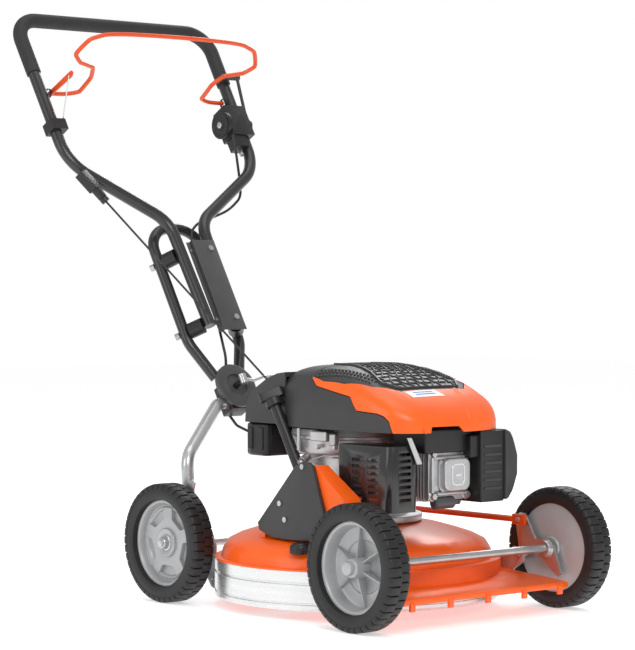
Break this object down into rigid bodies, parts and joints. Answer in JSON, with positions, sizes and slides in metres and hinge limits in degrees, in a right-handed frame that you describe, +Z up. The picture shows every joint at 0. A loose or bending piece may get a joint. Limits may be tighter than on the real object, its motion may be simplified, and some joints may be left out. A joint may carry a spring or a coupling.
{
  "type": "push lawn mower",
  "caption": "Petrol push lawn mower: round ribbed deck, engine with cowl and muffler guard, dished wheels, height linkage, folding looped tube handle, pull starter.",
  "frame": {"origin": "on the ground, at the middle of the bounding box's width and depth", "axes": "+X towards the mower's left wheels as its user walks, +Y towards the handle, +Z up"},
  "size_m": [0.502, 1.0756, 1.0511],
  "materials": {
    "orange_plastic": "glossy orange moulding",
    "orange_paint": "glossy orange enamel",
    "ring_metal": "turned, bright",
    "guard_paint": "glossy black enamel",
    "dark_plastic": "satin dark grey moulding",
    "black_plastic": "matt black moulding",
    "light_plastic": "satin light grey moulding",
    "silver_paint": "fine silver paint",
    "dark_paint": "satin black paint",
    "grey_paint": "satin grey paint",
    "aluminium": "cast, bead-blasted",
    "steel": "zinc-plated",
    "iron": "as cast",
    "tyre": "moulded tread",
    "rubber": "matt",
    "foam": "soft foam sleeve",
    "rope": "woven cord"
  },
  "bodies": {
    "chassis": {"deck_shell": "orange_plastic", "deck_ring": "ring_metal", "side_tower": "orange_plastic", "side_cover": "dark_plastic", "axle_brackets": "silver_paint", "deck_screws": "steel", "lower_frame": "silver_paint", "crankcase": "aluminium", "cylinder_head": "aluminium", "valve_cover": "grey_paint", "head_bolts": "steel", "muffler": "steel", "muffler_guard": "guard_paint", "carburettor": "aluminium", "filter_base": "dark_plastic", "filter_cover": "dark_plastic", "fuel_tank": "dark_plastic", "blower_housing": "dark_paint", "engine_cowl": "dark_plastic", "engine_shroud": "orange_plastic", "vent_grille": "dark_plastic", "dipstick_tube": "black_plastic", "rope_lower": "rope", "cable_lower": "black_plastic"},
    "rotor": {"crankshaft": "steel", "flywheel": "iron", "blade_holder": "iron", "blade": "steel", "blade_bolt": "steel"},
    "front_carriage": {"front_axle": "steel"},
    "rear_carriage": {"rear_axle": "steel", "height_lever": "steel"},
    "height_link": {"height_link": "orange_paint"},
    "wheel_front_right": {"tyre_front_right": "tyre", "rim_front_right": "light_plastic"},
    "wheel_front_left": {"tyre_front_left": "tyre", "rim_front_left": "light_plastic"},
    "wheel_rear_right": {"tyre_rear_right": "tyre", "rim_rear_right": "light_plastic"},
    "wheel_rear_left": {"tyre_rear_left": "tyre", "rim_rear_left": "light_plastic"},
    "handle_block": {"joint_block": "black_plastic"},
    "handle": {"handle_disc": "grey_paint", "mid_frame": "dark_paint", "buffers": "rubber", "handle_plate": "grey_paint", "handle_bolts": "steel", "upper_handle": "dark_paint", "foam_grip": "foam", "control_box": "black_plastic", "handle_clips": "black_plastic", "rope_upper": "rope", "cable_upper": "black_plastic"},
    "cam_lever": {"cam_lever": "steel"},
    "bail": {"bail": "orange_paint"},
    "control_lever": {"control_lever": "dark_plastic"},
    "starter": {"starter_grip": "black_plastic", "pull_rope": "rope"},
    "fuel_cap": {"fuel_cap": "black_plastic"},
    "dipstick": {"dipstick": "black_plastic"}
  },
  "joints": [
    {"name": "blade_spin", "type": "hinge", "parent": "chassis", "child": "rotor", "pos_m": [0, -0.1772, 0.2], "axis": [0, 0, 1], "continuous": true},
    {"name": "front_height", "type": "hinge", "parent": "chassis", "child": "front_carriage", "pos_m": [0, -0.3852, 0.0895], "axis": [1, 0, 0], "range_deg": [0, 38]},
    {"name": "rear_height", "type": "hinge", "parent": "chassis", "child": "rear_carriage", "pos_m": [0, 0.1018, 0.0895], "axis": [1, 0, 0], "range_deg": [0, 38]},
    {"name": "link_pivot", "type": "hinge", "parent": "front_carriage", "child": "height_link", "pos_m": [0.192, -0.3772, 0.147], "axis": [1, 0, 0], "range_deg": [-38, 0]},
    {"name": "wheel_front_right_spin", "type": "hinge", "parent": "front_carriage", "child": "wheel_front_right", "pos_m": [-0.23, -0.4352, 0.1025], "axis": [1, 0, 0], "continuous": true},
    {"name": "wheel_front_left_spin", "type": "hinge", "parent": "front_carriage", "child": "wheel_front_left", "pos_m": [0.23, -0.4352, 0.1025], "axis": [1, 0, 0], "continuous": true},
    {"name": "wheel_rear_right_spin", "type": "hinge", "parent": "rear_carriage", "child": "wheel_rear_right", "pos_m": [-0.23, 0.0518, 0.1025], "axis": [1, 0, 0], "continuous": true},
    {"name": "wheel_rear_left_spin", "type": "hinge", "parent": "rear_carriage", "child": "wheel_rear_left", "pos_m": [0.23, 0.0518, 0.1025], "axis": [1, 0, 0], "continuous": true},
    {"name": "handle_fold", "type": "hinge", "parent": "chassis", "child": "handle_block", "pos_m": [0, 0.1528, 0.331], "axis": [1, 0, 0], "range_deg": [0, 60], "deforming": ["rope_lower", "cable_lower"]},
    {"name": "handle_swing", "type": "hinge", "parent": "handle_block", "child": "handle", "pos_m": [0, 0.1538, 0.36], "axis": [0, -0.8584, 0.5129], "range_deg": [-15, 15]},
    {"name": "cam_lever_turn", "type": "hinge", "parent": "handle_block", "child": "cam_lever", "pos_m": [0, 0.12891, 0.37487], "axis": [0, -0.8584, 0.5129], "range_deg": [-90, 0]},
    {"name": "bail_pull", "type": "hinge", "parent": "handle", "child": "bail", "pos_m": [0, 0.44161, 0.89627], "axis": [1, 0, 0], "range_deg": [-72, 0], "stiffness_Nm_per_rad": 1.2, "springref_deg": 34.38},
    {"name": "control_lever_turn", "type": "hinge", "parent": "handle", "child": "control_lever", "pos_m": [0.24, 0.41322, 0.85266], "axis": [1, 0, 0], "range_deg": [0, 35]},
    {"name": "starter_pull", "type": "slide", "parent": "handle", "child": "starter", "axis": [-0.4754, 0.4764, 0.7396], "range_m": [0, 0.33], "stiffness_N_per_m": 12, "springref_m": -0.6},
    {"name": "fuel_cap_turn", "type": "hinge", "parent": "chassis", "child": "fuel_cap", "pos_m": [0.034, -0.0232, 0.33], "axis": [0, 0, 1], "range_deg": [0, 90]},
    {"name": "dipstick_turn", "type": "hinge", "parent": "chassis", "child": "dipstick", "pos_m": [-0.126, -0.1112, 0.34], "axis": [-0.0716, 0.4461, 0.8921], "range_deg": [0, 90]}
  ],
  "couplings": [
    {"joint": "rear_height", "follows": "front_height", "ratio": 1},
    {"joint": "link_pivot", "follows": "front_height", "ratio": -1}
  ]
}
